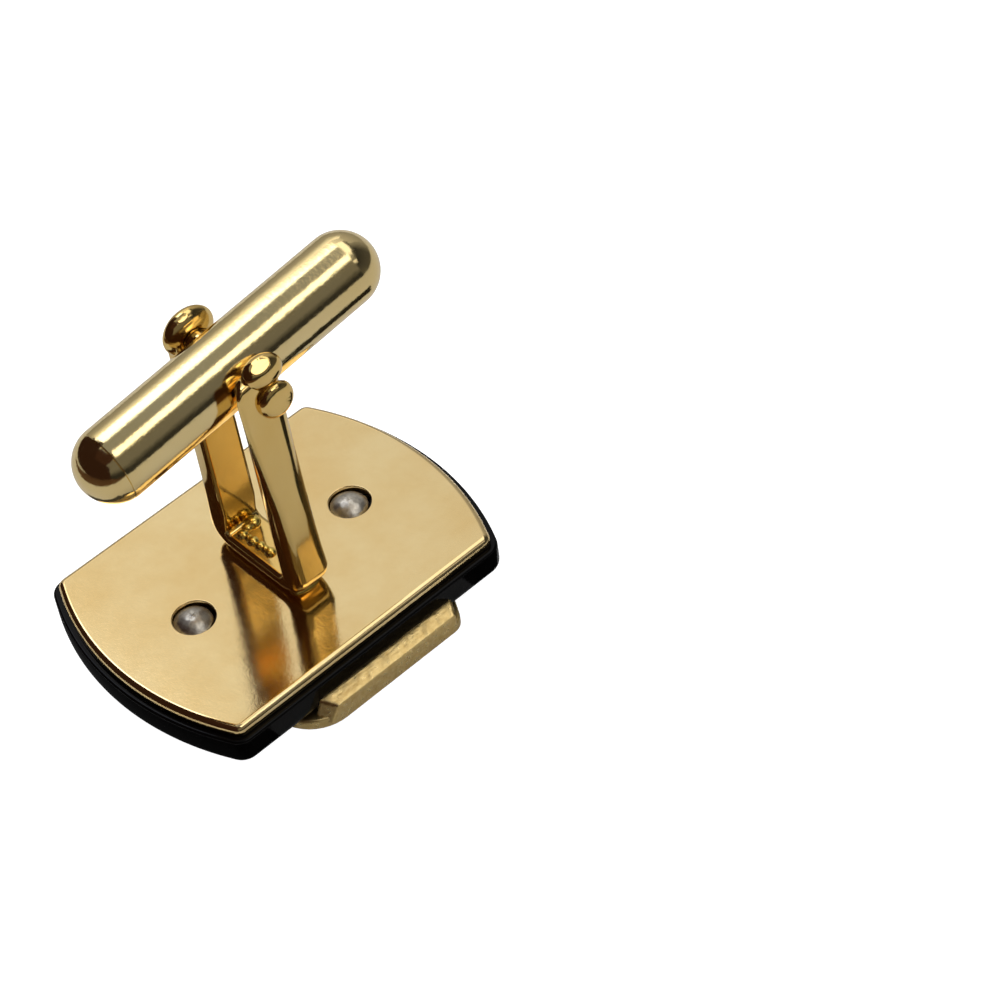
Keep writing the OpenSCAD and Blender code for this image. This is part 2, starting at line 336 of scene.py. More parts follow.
def bowed_plate(name, crowns, end_r, half_w, corners, heights):
    """A plate with straight sides and bowed ends. crowns are its two ends' distances from the middle and
    corners their corner radii, at -X and +X. One point is spun round each arc in turn, clockwise."""
    ends = []
    for crown, r in zip(crowns, corners):
        centre = crown - end_r
        corner_y = half_w - r
        corner_x = centre + math.sqrt((end_r - r) ** 2 - corner_y ** 2)
        ends.append((centre, corner_x, corner_y, math.atan2(corner_y, corner_x - centre)))
    obj = point(name, (ends[1][1], half_w, heights[0]))
    for side, (centre, corner_x, corner_y, half_turn) in zip((1, -1), reversed(ends)):
        swept_corner((side * corner_x, side * corner_y), QUARTER - half_turn)
        bpy.ops.mesh.spin(steps=ARC_STEPS, angle=2 * half_turn, center=(side * centre, 0, 0), axis=(0, 0, 1))
        swept_corner((side * corner_x, -side * corner_y), QUARTER - half_turn)
        if side > 0:
            draw_to((-corner_x - ends[0][1], 0, 0))
    bpy.ops.mesh.select_all(action="SELECT")
    bpy.ops.mesh.edge_face_add()
    bpy.ops.mesh.select_all(action="SELECT")
    draw_to((0, 0, heights[1] - heights[0]))
    close()
    heal(obj)
    return obj


def round_rim(obj, height, radius, segments, inside=None):
    """Rounds the edges that lie at one height, or those of them that pass a test."""
    edit(obj)
    pick(obj, "EDGE", lambda m, d: abs(m.z - height) < NEAR and abs(d.z) < NEAR
         and (not inside or inside(m)))
    bpy.ops.mesh.bevel(offset=radius, segments=segments, affect="EDGES", clamp_overlap=False)
    close()


def drill(obj, place, radius, depth, axis="Z", vertices=64):
    """Cuts a round hole centred on a place."""
    turn = {"X": (0, QUARTER, 0), "Y": (QUARTER, 0, 0), "Z": (0, 0, 0)}[axis]
    tool = primitive(bpy.ops.mesh.primitive_cylinder_add, "drill", radius=radius, depth=depth,
                     vertices=vertices, location=place, rotation=turn)
    boolean(obj, tool)


# Materials


def rgb(colour):
    """An sRGB hex colour as linear values."""
    channels = [int(colour[i:i + 2], 16) / 255 for i in (1, 3, 5)]
    return [c / 12.92 if c <= 0.04045 else ((c + 0.055) / 1.055) ** 2.4 for c in channels] + [1]


def per(size):
    """The scale of a pattern whose marks are so many millimetres apart."""
    return 1 / (size * MM)


def add(tree, kind, inputs=None, **settings):
    """Adds a node with its settings. Its inputs are values, or sockets that are linked."""
    node = tree.nodes.new("ShaderNode" + kind)
    for name, value in settings.items():
        setattr(node, name, value)
    for name, value in (inputs or {}).items():
        if isinstance(value, bpy.types.NodeSocket):
            tree.links.new(value, node.inputs[name])
        else:
            node.inputs[name].default_value = value
    return node


def plain_material(name):
    """A material with no nodes yet."""
    material = bpy.data.materials.new(name)
    material.use_nodes = True
    tree = material.node_tree
    tree.nodes.clear()
    return material, tree


def new_material(name):
    """A material with its shader and the object's own coordinates."""
    material, tree = plain_material(name)
    shader = add(tree, "BsdfPrincipled")
    add(tree, "OutputMaterial", {"Surface": shader.outputs[0]})
    place = add(tree, "TexCoord").outputs["Object"]
    return material, tree, shader, place


def link(tree, source, shader, name):
    """Links a socket to one of the shader's inputs."""
    tree.links.new(source, shader.inputs[name])


def satin_gold():
    """Rolled brass under a thin gold plate: it mirrors the post a little blurred, ripples and sparkles. The
    colour drifts over a few millimetres, where the plate has worn thin."""
    material, tree, shader, place = new_material("gold plate on brass, rolled")
    drift = add(tree, "TexNoise", {"Vector": place, "Scale": per(4), "Detail": 5, "Roughness": 0.6})
    colour = add(tree, "Mix", {"Factor": drift.outputs["Fac"], 6: rgb("#DDB772"), 7: rgb("#F2DDAA")},
                 data_type="RGBA")
    grain = add(tree, "TexNoise", {"Vector": place, "Scale": per(0.16), "Detail": 4, "Roughness": 0.6})
    rough = add(tree, "MapRange", {"Value": grain.outputs["Fac"], 3: 0.06, 4: 0.13})
    wave = add(tree, "TexNoise", {"Vector": place, "Scale": per(1.8), "Detail": 2})
    dents = add(tree, "Bump", {"Height": wave.outputs["Fac"], "Strength": 0.5, "Distance": 0.014 * MM})
    bump = add(tree, "Bump", {"Height": grain.outputs["Fac"], "Strength": 0.5, "Distance": 0.005 * MM,
                              "Normal": dents.outputs[0]})
    shader.inputs["Metallic"].default_value = 1
    link(tree, colour.outputs[2], shader, "Base Color")
    link(tree, rough.outputs[0], shader, "Roughness")
    link(tree, bump.outputs[0], shader, "Normal")
    return material


def polished_gold(name, light, dark, low, high, pits):
    """Brass polished and gold plated: sharp mirror bands, with fine pits that the polishing left."""
    material, tree, shader, place = new_material(name)
    drift = add(tree, "TexNoise", {"Vector": place, "Scale": per(3), "Detail": 3})
    colour = add(tree, "Mix", {"Factor": drift.outputs["Fac"], 6: rgb(dark), 7: rgb(light)},
                 data_type="RGBA")
    grain = add(tree, "TexNoise", {"Vector": place, "Scale": per(0.25), "Detail": 3, "Roughness": 0.55})
    rough = add(tree, "MapRange", {"Value": grain.outputs["Fac"], 3: low, 4: high})
    bump = add(tree, "Bump", {"Height": grain.outputs["Fac"], "Strength": 0.5, "Distance": pits * MM})
    shader.inputs["Metallic"].default_value = 1
    link(tree, colour.outputs[2], shader, "Base Color")
    link(tree, rough.outputs[0], shader, "Roughness")
    link(tree, bump.outputs[0], shader, "Normal")
    return material


def cast_gold():
    """Cast brass, gold plated and left as cast at the back: a soft shine over fine grit, browner in the
    hollows."""
    material, tree, shader, place = new_material("gold plate on cast brass")
    grit = add(tree, "TexNoise", {"Vector": place, "Scale": per(0.3), "Detail": 5, "Roughness": 0.65})
    colour = add(tree, "Mix", {"Factor": grit.outputs["Fac"], 6: rgb("#C49A4E"), 7: rgb("#FBE2A2")},
                 data_type="RGBA")
    along = add(tree, "Mapping", {"Vector": place, "Scale": (0.12, 1, 1)})
    file_marks = add(tree, "TexNoise", {"Vector": along.outputs[0], "Scale": per(0.12), "Detail": 3})
    rough = add(tree, "MapRange", {"Value": grit.outputs["Fac"], 3: 0.36, 4: 0.22})
    marks = add(tree, "Bump", {"Height": file_marks.outputs["Fac"], "Strength": 0.7, "Distance": 0.02 * MM})
    bump = add(tree, "Bump", {"Height": grit.outputs["Fac"], "Strength": 0.6, "Distance": 0.03 * MM,
                              "Normal": marks.outputs[0]})
    shader.inputs["Metallic"].default_value = 1
    link(tree, colour.outputs[2], shader, "Base Color")
    link(tree, rough.outputs[0], shader, "Roughness")
    link(tree, bump.outputs[0], shader, "Normal")
    return material


def black_gloss():
    """Black moulded plastic, polished: a deep black with a thin, sharp shine along its rounded edges."""
    material, tree, shader, place = new_material("black acrylic, polished")
    dust = add(tree, "TexNoise", {"Vector": place, "Scale": per(0.8), "Detail": 5})
    colour = add(tree, "Mix", {"Factor": dust.outputs["Fac"], 6: rgb("#010101"), 7: rgb("#050404")},
                 data_type="RGBA")
    rough = add(tree, "MapRange", {"Value": dust.outputs["Fac"], 3: 0.08, 4: 0.18})
    wave = add(tree, "Bump", {"Height": dust.outputs["Fac"], "Strength": 0.3, "Distance": 0.01 * MM})
    shader.inputs["Specular IOR Level"].default_value = 0.1
    link(tree, colour.outputs[2], shader, "Base Color")
    link(tree, rough.outputs[0], shader, "Roughness")
    link(tree, wave.outputs[0], shader, "Normal")
    return material


def dull_tin():
    """Tin alloy pegs with hammered heads: a dull grey with light and dark mottling."""
    material, tree, shader, place = new_material("tin alloy, hammered")
    mottle = add(tree, "TexNoise", {"Vector": place, "Scale": per(0.35), "Detail": 4, "Roughness": 0.6})
    colour = add(tree, "Mix", {"Factor": mottle.outputs["Fac"], 6: rgb("#7A7264"), 7: rgb("#F4EBDA")},
                 data_type="RGBA")
    rough = add(tree, "MapRange", {"Value": mottle.outputs["Fac"], 3: 0.45, 4: 0.24})
    bump = add(tree, "Bump", {"Height": mottle.outputs["Fac"], "Strength": 0.8, "Distance": 0.04 * MM})
    shader.inputs["Metallic"].default_value = 1
    link(tree, colour.outputs[2], shader, "Base Color")
    link(tree, rough.outputs[0], shader, "Roughness")
    link(tree, bump.outputs[0], shader, "Normal")
    return material


def spring_steel():
    """Drawn spring steel, oiled: a bluish grey with fine lines along the wire."""
    material, tree, shader, place = new_material("spring steel, drawn")
    lines = add(tree, "TexNoise", {"Vector": place, "Scale": per(0.08), "Detail": 3})
    colour = add(tree, "Mix", {"Factor": lines.outputs["Fac"], 6: rgb("#7E8288"), 7: rgb("#B9BDC2")},
                 data_type="RGBA")
    rough = add(tree, "MapRange", {"Value": lines.outputs["Fac"], 3: 0.25, 4: 0.4})
    shader.inputs["Metallic"].default_value = 1
    link(tree, colour.outputs[2], shader, "Base Color")
    link(tree, rough.outputs[0], shader, "Roughness")
    return material


SATIN = satin_gold()
POLISHED = polished_gold("gold plate on brass, polished", "#F1D38C", "#E2B968", 0.06, 0.14, 0.004)
TOGGLE_GOLD = polished_gold("gold plate on drawn tube, polished", "#EFD9A2", "#E6C986", 0.07, 0.15, 0.013)
SOLDER = polished_gold("gold solder, as it set", "#FFE690", "#F8D05A", 0.12, 0.26, 0.012)
CAST = cast_gold()
BLACK = black_gloss()
TIN = dull_tin()
STEEL = spring_steel()


# The plates


def make_back_plate():
    crown = plate_high.x
    obj = bowed_plate("gold_back_plate", (crown, crown), PLATE_END_R, PLATE_HALF_W,
                      (PLATE_CORNER_R, PLATE_CORNER_R), (plate_low.z, plate_high.z))
    round_rim(obj, plate_high.z, PLATE_EDGE_R, 8)
    round_rim(obj, plate_low.z, PLATE_FRONT_R, 3)
    for side in (-1, 1):
        drill(obj, (side * PEG_X, 0, PLATE_TOP), PEG_HOLE_R, DRILL_L)
    reach = 2 * PEG_R
    round_rim(obj, plate_high.z, HOLE_EDGE_R, 3, lambda m: abs(abs(m.x) - PEG_X) < reach and abs(m.y) < reach)
    return finish_piece(obj, SATIN, "link", "back_plate", "back_plate")


def make_face_plate():
    crown = face_high.x
    obj = bowed_plate("black_face_plate", (crown, crown), FACE_END_R, face_high.y,
                      (FACE_CORNER_R, FACE_CORNER_R), (face_low.z, face_high.z))
    round_rim(obj, face_high.z, FACE_BACK_R, 4)
    round_rim(obj, face_low.z, FACE_FRONT_R, 8)
    for side in (-1, 1):
        drill(obj, (side * PEG_X, 0, face_low.z), PEG_R, DRILL_L)
    return finish_piece(obj, BLACK, "link", "face_plate", "face_plate")


def make_lip(side):
    """One lip: a bar cut back at its outer corners, with a sloped foot at -X and a top that falls outwards.
    It is roughened like a casting that was filed."""
    obj = primitive(bpy.ops.mesh.primitive_cube_add, "lip", size=1)
    foot = PANEL_T / 2
    middle = (LIP_START_X - LIP_FLARE + LIP_END_X) / 2
    obj.scale = (LIP_END_X - LIP_START_X + LIP_FLARE, LIP_T, LIP_TOP - foot)
    obj.location = (middle, side * (face_high.y + LIP_T / 2), (LIP_TOP + foot) / 2)
    apply_place()
    edit(obj)
    outer = face_high.y + LIP_T / 2
    pick(obj, "VERT", lambda p, n: p.x < middle and abs(p.y) > outer)
    bpy.ops.transform.translate(value=(LIP_CUT, 0, 0))
    pick(obj, "VERT", lambda p, n: p.x > middle and abs(p.y) > outer)
    bpy.ops.transform.translate(value=(-LIP_CUT, 0, 0))
    pick(obj, "VERT", lambda p, n: p.x < middle and p.z > PANEL_T)
    bpy.ops.transform.translate(value=(LIP_FLARE, 0, 0))
    pick(obj, "VERT", lambda p, n: abs(p.y) > outer and p.z > PANEL_T)
    bpy.ops.transform.translate(value=(0, 0, -LIP_FALL))
    pick(obj, "EDGE", lambda m, d: m.z > PANEL_T and abs(d.z) < 0.5 and abs(m.y) > face_high.y + LIP_T / 4)
    bpy.ops.mesh.bevel(offset=LIP_EDGE_R, segments=3, affect="EDGES")
    close()
    modify(obj, "REMESH", mode="VOXEL", voxel_size=LIP_GRAIN)
    grain = bpy.data.textures.new("casting grain", "CLOUDS")
    grain.noise_scale = LIP_DENT_GAP
    modify(obj, "DISPLACE", texture=grain, texture_coords="LOCAL", strength=LIP_DENTS, mid_level=0.6)
    heal(obj)
    return obj


def make_ornament():
    """The panel that covers the front, with the two lips that stand up from it."""
    obj = bowed_plate("gold_front_ornament", (-panel_low.x, panel_high.x), FACE_END_R, panel_high.y,
                      (ROUND_CORNER_R, SQUARE_CORNER_R), (0, PANEL_T))
    round_rim(obj, 0, PANEL_EDGE_R, 5)
    round_rim(obj, PANEL_T, PANEL_EDGE_R / 2, 3)
    for side in (-1, 1):
        drill(obj, (side * PEG_X, 0, peg_low.z + DRILL_L / 2), PEG_R, DRILL_L)
    join(obj, make_lip(-1), make_lip(1))
    return finish_piece(obj, CAST, "link", "front_ornament", "front_ornament")


def make_pegs():
    """Two pegs, each a profile spun about its own axis. Their heads are a little off the middle and dented,
    as the hammer left them."""
    dome_r = (PEG_HEAD_R ** 2 + PEG_HEAD_H ** 2) / (2 * PEG_HEAD_H)
    rim = math.asin(PEG_HEAD_R / dome_r)
    head_z = peg_high.z - PEG_HEAD_H
    pegs = []
    for side in (-1, 1):
        obj = point("peg", (side * PEG_X, 0, peg_low.z))
        draw_to((PEG_R, 0, 0))
        draw_to((0, 0, face_high.z - peg_low.z))
        draw_to((PEG_HEAD_R - PEG_R, 0, 0))
        draw_to((0, 0, head_z - face_high.z))
        bpy.ops.mesh.spin(steps=6, angle=rim, center=(side * PEG_X, 0, peg_high.z - dome_r), axis=(0, 1, 0))
        lathe(40, (side * PEG_X, 0, 0))
        pegs.append(obj)
    join(*pegs)
    obj = pegs[0]
    obj.name = obj.data.name = "tin_pegs"
    edit(obj)
    pick(obj, "VERT", lambda p, n: p.z > head_z - NEAR)
    bpy.ops.transform.translate(value=PEG_SHIFT)
    bpy.ops.transform.vertex_random(offset=PEG_DENTS, seed=7)
    close()
    return finish_piece(obj, TIN, "link", "ornament_pegs", "ornament_pegs")


# The post, its pin and the solder


def shape_ring(obj, z, left, right, flare):
    """Shapes one ring of the open arm: rounder or sharper outer edges, and how far its outer face stands
    out."""
    side_x = STRIP_W / 2
    outer = post_high.y
    rim_x = side_x - OUTER_EDGE_R - NEAR
    rim_y = outer - OUTER_EDGE_R - NEAR
    pick(obj, "VERT", lambda p, n: abs(p.z - z) < NEAR and p.x < -rim_x and p.y > rim_y)
    bpy.ops.transform.resize(value=(left, left, 1), center_override=(-side_x, outer, z))
    pick(obj, "VERT", lambda p, n: abs(p.z - z) < NEAR and p.x > rim_x and p.y > rim_y)
    bpy.ops.transform.resize(value=(right, (1 + right) / 2, 1), center_override=(side_x, outer, z))
    pick(obj, "VERT", lambda p, n: abs(p.z - z) < NEAR and p.y > ARM_Y)
    bpy.ops.transform.translate(value=(0, flare, 0))


def make_ball(middle, width, height, facet_share):
    """A ball, flattened towards the toggle, that an arm's end was peened to. A blow of the hammer left a
    facet on it, at a share of the way out."""
    obj = primitive(bpy.ops.mesh.primitive_uv_sphere_add, "ball", radius=1, segments=64, ring_count=32,
                    location=middle)
    half = Vector((width / 2, BALL_T / 2, height / 2))
    obj.scale = half
    apply_place()
    facing = Vector(FACET).normalized()
    reach = Vector([h * f for h, f in zip(half, facing)]).length * facet_share
    edit(obj)
    bpy.ops.mesh.select_all(action="SELECT")
    cut = Vector(middle) + facing * reach
    bpy.ops.mesh.bisect(plane_co=cut, plane_no=facing, use_fill=True, clear_outer=True)
    pick(obj, "FACE", lambda p, n: n.dot(facing) > 0.999)
    bpy.ops.mesh.inset(thickness=FACET_SOFT)
    close()
    return obj


def start_strip():
    """The strip's cross-section under the middle of the base, with its edges rounded, open for editing."""
    middle = (0, 0, PLATE_TOP + STRIP_T / 2)
    obj = primitive(bpy.ops.mesh.primitive_plane_add, "gold_post", size=1, location=middle,
                    rotation=(QUARTER, 0, 0))
    apply_place()
    edit(obj)
    bpy.ops.mesh.select_all(action="SELECT")
    bpy.ops.transform.resize(value=(STRIP_W, 1, STRIP_T), center_override=middle)
    pick(obj, "VERT", lambda p, n: p.z < PLATE_TOP + NEAR)
    bpy.ops.mesh.bevel(offset=OUTER_EDGE_R, segments=8, affect="VERTICES")
    pick(obj, "VERT", lambda p, n: p.z > PLATE_TOP + STRIP_T - NEAR)
    bpy.ops.mesh.bevel(offset=INNER_EDGE_R, segments=5, affect="VERTICES")
    return obj


def raise_arm(obj):
    """Extrudes the open strip along the base, spins it round the bend and draws it up ring by ring. The outer
    face of the bend swells, so that the arm's heel stands out."""
    bpy.ops.mesh.select_all(action="SELECT")
    draw_to((0, BEND_Y, 0))
    bpy.ops.mesh.spin(steps=14, angle=QUARTER, center=(0, BEND_Y, BEND_Z), axis=(-1, 0, 0))
    for below, ring in zip(ARM_RINGS, ARM_RINGS[1:]):
        draw_to((0, 0, ring[0] - below[0]))
    for z, left, right, _, flare, _ in ARM_RINGS:
        shape_ring(obj, z, left, right, flare)
    mid_r = BEND_R + STRIP_T / 2
    pick(obj, "VERT", lambda p, n: BEND_Y + NEAR < p.y and p.z < BEND_Z - NEAR
         and math.hypot(p.y - BEND_Y, p.z - BEND_Z) > mid_r)
    swelling = 1 + HEEL_FLARE / (BEND_R + STRIP_T)
    bpy.ops.transform.resize(value=(1, swelling, 1), center_override=(0, BEND_Y, BEND_Z))


def close_tip(obj):
    """Closes the open arm in a blunt end, drawn up in ever smaller rings along a superellipse."""
    pick(obj, "FACE", lambda m, n: m.z > TIP_Z - NEAR)
    share, height = 1, 0
    for i in range(1, TIP_STEPS + 1):
        turn = QUARTER * i / TIP_STEPS
        next_share = max(math.cos(turn), TIP_END_SHARE) ** TIP_POWER
        next_height = math.sin(turn) ** TIP_POWER
        draw_to((0, 0, TIP_R * (next_height - height)))
        bpy.ops.transform.resize(value=(next_share / share, next_share / share, 1),
                                 center_override=(0, ARM_Y, TIP_Z + TIP_R * next_height))
        share, height = next_share, next_height


def bend_arms(obj):
    """Gives each of the open post's arms its own shape: the near one's edge at -X is pushed out and the far
    one swells inwards, and both lean a little, as they were bent by hand."""
    rim_x = STRIP_W / 2 - OUTER_EDGE_R
    rim_y = post_high.y - OUTER_EDGE_R
    for z, _, _, push, _, swell in ARM_RINGS:
        top = post_high.z if z == TIP_Z else z + NEAR
        pick(obj, "VERT", lambda p, n: z - NEAR < p.z < top and p.x < -rim_x and p.y < -rim_y)
        bpy.ops.transform.translate(value=(-push, 0, 0))
        pick(obj, "VERT", lambda p, n: z - NEAR < p.z < top and 0 < p.y < ARM_Y)
        bpy.ops.transform.translate(value=(0, -swell, 0))
    pick(obj, "VERT", lambda p, n: p.y > 0 and p.z > TIP_Z + NEAR)
    bpy.ops.transform.resize(value=(FAR_TIP_SHARE, FAR_TIP_SHARE, 1), center_override=(0, ARM_Y, TIP_Z))
    pick(obj, "VERT", lambda p, n: p.y < 0 and p.z > BEND_Z + NEAR)
    bpy.ops.transform.rotate(value=ARM_LEAN, orient_axis="Y", center_override=(0, -ARM_Y, BEND_Z))
    pick(obj, "VERT", lambda p, n: p.y > 0 and p.z > BEND_Z + NEAR)
    bpy.ops.transform.rotate(value=FAR_LEAN, orient_axis="X", center_override=(0, ARM_Y, BEND_Z))


def make_post():
    """A strip bent to a U: half of it is drawn up and mirrored, its ends get their balls, and both arms are
    drilled for the pin."""
    obj = start_strip()
    raise_arm(obj)
    close_tip(obj)
    pick(obj, "FACE", lambda m, n: abs(m.y) < NEAR)
    bpy.ops.mesh.delete(type="ONLY_FACE")
    close()
    modify(obj, "MIRROR", use_axis=(False, True, False), use_mirror_merge=True, merge_threshold=NEAR)
    edit(obj)
    bend_arms(obj)
    close()
    heal(obj)
    boolean(obj, make_ball(*NEAR_BALL), "UNION")
    boolean(obj, make_ball(*FAR_BALL), "UNION")
    drill(obj, (0, 0, PIN_Z), PIN_R + PIN_FIT, 4 * ARM_Y, "Y")
    return finish_piece(obj, POLISHED, "link", "post", "post")


def make_pin():
    """Peened over outside both arms. The profile is spun about the pin. Inside the toggle, where the solid is
    squared, nothing shows and it stays round here."""
    reach = post_high.y
    head_r = (pin_high.z - pin_low.z) / 2
    straight_h = pin_high.y - reach - PIN_HEAD_ROUND_R
    round_x = head_r - PIN_HEAD_ROUND_R
    round_y = pin_high.y - PIN_HEAD_ROUND_R
    step_in = head_r - PIN_HEAD_UNDERCUT - PIN_R
    obj = point("gold_pivot_pin", (0, -pin_high.y, PIN_Z))
    draw_to((round_x, 0, 0))
    bpy.ops.mesh.spin(steps=8, angle=-QUARTER, center=(round_x, -round_y, PIN_Z), axis=(0, 0, 1))
    draw_to((-PIN_HEAD_UNDERCUT, straight_h, 0))
    draw_to((-step_in, 0, 0))
    draw_to((0, 2 * reach, 0))
    draw_to((step_in, 0, 0))
    draw_to((PIN_HEAD_UNDERCUT, straight_h, 0))
    bpy.ops.mesh.spin(steps=8, angle=-QUARTER, center=(round_x, round_y, PIN_Z), axis=(0, 0, 1))
    draw_to((-round_x, 0, 0))
    lathe(48, (0, 0, PIN_Z), (0, 1, 0))
    heal(obj)
    edit(obj)
    pick(obj, "VERT", lambda p, n: p.y < NEAR - reach)
    bpy.ops.transform.translate(value=PIN_HEAD_SHIFT)
    pick(obj, "VERT", lambda p, n: abs(p.y) > reach + NEAR)
    bpy.ops.transform.vertex_random(offset=PIN_DENTS, seed=4)
    close()
    return finish_piece(obj, POLISHED, "link", "pivot_pin", "pivot_pin")


def make_wedge(side):
    """Solder that filled the wedge under a bend: half an ellipsoid, cut by a roller of the bend's size."""
    wedge = primitive(bpy.ops.mesh.primitive_uv_sphere_add, "gold_solder", radius=1, segments=48,
                      ring_count=24)
    wedge.scale = WEDGE_HALF
    wedge.location = (0, side * (BEND_Y + WEDGE_OUT), PLATE_TOP)
    apply_place()
    edit(wedge)
    bpy.ops.mesh.select_all(action="SELECT")
    bpy.ops.mesh.bisect(plane_co=(0, 0, PLATE_TOP), plane_no=(0, 0, 1), use_fill=True, clear_inner=True)
    close()
    roller = primitive(bpy.ops.mesh.primitive_cylinder_add, "roller", radius=BEND_R + STRIP_T + WEDGE_FIT,
                       depth=2 * STRIP_W, vertices=96, location=(0, side * BEND_Y, BEND_Z),
                       rotation=(0, QUARTER, 0))
    boolean(wedge, roller)
    return wedge


def make_bead(x, y, radius):
    """A bead of solder that set on top of the base."""
    top = PLATE_TOP + STRIP_T
    bead = primitive(bpy.ops.mesh.primitive_uv_sphere_add, "bead", radius=radius, location=(x, y, top),
                     segments=20, ring_count=12)
    edit(bead)
    bpy.ops.mesh.select_all(action="SELECT")
    bpy.ops.transform.resize(value=(1, 1, BEAD_FLAT_SHARE), center_override=(x, y, top))
    bpy.ops.mesh.bisect(plane_co=(x, y, top), plane_no=(0, 0, 1), use_fill=True, clear_inner=True)
    close()
    return bead


def make_solder():
    obj = make_wedge(-1)
    boolean(obj, make_wedge(1), "UNION")
    for bead in BEADS:
        boolean(obj, make_bead(*bead), "UNION")
    return finish_piece(obj, SOLDER, "link", "solder_beads", "solder_beads", smooth=60)


# The toggle


def on_toggle(obj):
    """Lays a piece that was made along Z on the toggle's axis, tilted as at rest."""
    select(obj)
    obj.rotation_euler = (0, QUARTER - REST_TILT, 0)
    obj.location = (0, 0, PIN_Z)
    apply_place()


def make_barrel():
    """A tube with one round end, its open end rolled in a little. The profile runs up the outside, over the
    end and back inside."""
    bore = TOGGLE_R - BARREL_WALL
    roll = math.asin((SEAM_HALF - BARREL_HALF - SEAM_CUT) / TOGGLE_R)
    obj = point("gold_toggle_barrel", (SEAM_R - SEAM_CUT, 0, -SEAM_HALF))
    draw_to((TOGGLE_R * math.cos(roll) - SEAM_R + SEAM_CUT, 0, SEAM_CUT))
    bpy.ops.mesh.spin(steps=3, angle=roll, center=(0, 0, -BARREL_HALF), axis=(0, 1, 0))
    draw_to((0, 0, 2 * BARREL_HALF))
    bpy.ops.mesh.spin(steps=20, angle=QUARTER, center=(0, 0, BARREL_HALF), axis=(0, 1, 0))
    draw_to((0, 0, -BARREL_WALL))
    bpy.ops.mesh.spin(steps=12, angle=-QUARTER, center=(0, 0, BARREL_HALF), axis=(0, 1, 0))
    draw_to((0, 0, -BARREL_HALF - SEAM_HALF))
    draw_to((SEAM_R - SEAM_CUT - bore, 0, 0))
    lathe(TOGGLE_STEPS)
    heal(obj)
    drill(obj, (0, 0, 0), PIN_R + RUN_FIT, 3 * TOGGLE_R, "Y", 48)
    on_toggle(obj)
    return finish_piece(obj, TOGGLE_GOLD, "toggle", "toggle", "toggle_barrel")


def make_cap():
    """The round cap at the barrel's open end, with a spigot that is pressed in."""
    bore = TOGGLE_R - BARREL_WALL - CAP_FIT
    roll = math.asin((SEAM_HALF - BARREL_HALF + SEAM_CUT) / TOGGLE_R)
    obj = point("gold_end_cap", (0, 0, -SEAM_HALF + CAP_SPIGOT_L))
    draw_to((bore, 0, 0))
    draw_to((0, 0, -CAP_SPIGOT_L))
    draw_to((SEAM_R - SEAM_CUT - bore, 0, 0))
    draw_to((TOGGLE_R * math.cos(roll) - SEAM_R + SEAM_CUT, 0, -SEAM_CUT))
    bpy.ops.mesh.spin(steps=20, angle=roll - QUARTER, center=(0, 0, -BARREL_HALF), axis=(0, 1, 0))
    lathe(TOGGLE_STEPS)
    on_toggle(obj)
    return finish_piece(obj, TOGGLE_GOLD, "toggle", "toggle", "toggle_end_cap")


make_back_plate()
make_face_plate()
make_ornament()
make_pegs()
make_post()
make_pin()
make_solder()
make_barrel()
make_cap()

# The plunger and the spring inside the barrel stay as solids and only get their metal
for kept in ("detent_plunger", "detent_spring"):
    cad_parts[kept].data.materials.clear()
    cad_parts[kept].data.materials.append(STEEL)


# The studio, in metres. H is half the tent's width and T its height
H = 0.4
T = 0.4
CARD_T = 0.0001
SPARK_Z = T - 0.002
TABLE_W = 4
PAPER_Z = 0.00002
AIM = Vector((0, 0, 0.008))


def mirror_only(obj, material):
    """Puts a studio piece where only mirrors see it."""
    obj.data.materials.append(material)
    obj.visible_camera = False
    obj.visible_diffuse = False
    obj.visible_shadow = False
    obj.visible_transmission = False


def card(name, level, corner, opposite, axis="Z", far_level=None, colour="#FFFFFF"):
    """A flat glowing card between two corners. Its level can run to another one along an axis."""
    low = Vector(corner)
    high = Vector(opposite)
    obj = primitive(bpy.ops.mesh.primitive_cube_add, name, size=1, location=(low + high) / 2)
    obj.scale = [max(abs(c), CARD_T) for c in high - low]
    apply_place()
    material, tree = plain_material(name)
    i = "XYZ".index(axis)
    place = add(tree, "SeparateXYZ", {"Vector": add(tree, "TexCoord").outputs["Object"]})
    run = add(tree, "MapRange", {"Value": place.outputs[i], 1: low[i], 2: high[i] + CARD_T, 3: level,
                                 4: level if far_level is None else far_level})
    shine = add(tree, "Emission", {"Color": rgb(colour), "Strength": run.outputs[0]})
    add(tree, "OutputMaterial", {"Surface": shine.outputs[0]})
    mirror_only(obj, material)


def make_table_card():
    """Grey paper on the table, for mirrors. The lamps light it and the object's shadow falls on it."""
    obj = primitive(bpy.ops.mesh.primitive_plane_add, "table in mirrors", size=TABLE_W,
                    location=(0, 0, PAPER_Z))
    apply_place()
    material, tree = plain_material("grey paper")
    paper = add(tree, "BsdfDiffuse", {"Color": rgb("#999999")})
    add(tree, "OutputMaterial", {"Surface": paper.outputs[0]})
    mirror_only(obj, material)


def seen_by_eye(tree):
    """1 where the camera, a mirror or glass looks, and 0 for the light that falls on surfaces."""
    path = add(tree, "LightPath")
    either = add(tree, "Math", {0: path.outputs["Is Camera Ray"], 1: path.outputs["Is Glossy Ray"]},
                 operation="MAXIMUM")
    seen = add(tree, "Math", {0: either.outputs[0], 1: path.outputs["Is Transmission Ray"]},
               operation="MAXIMUM")
    return seen.outputs[0]


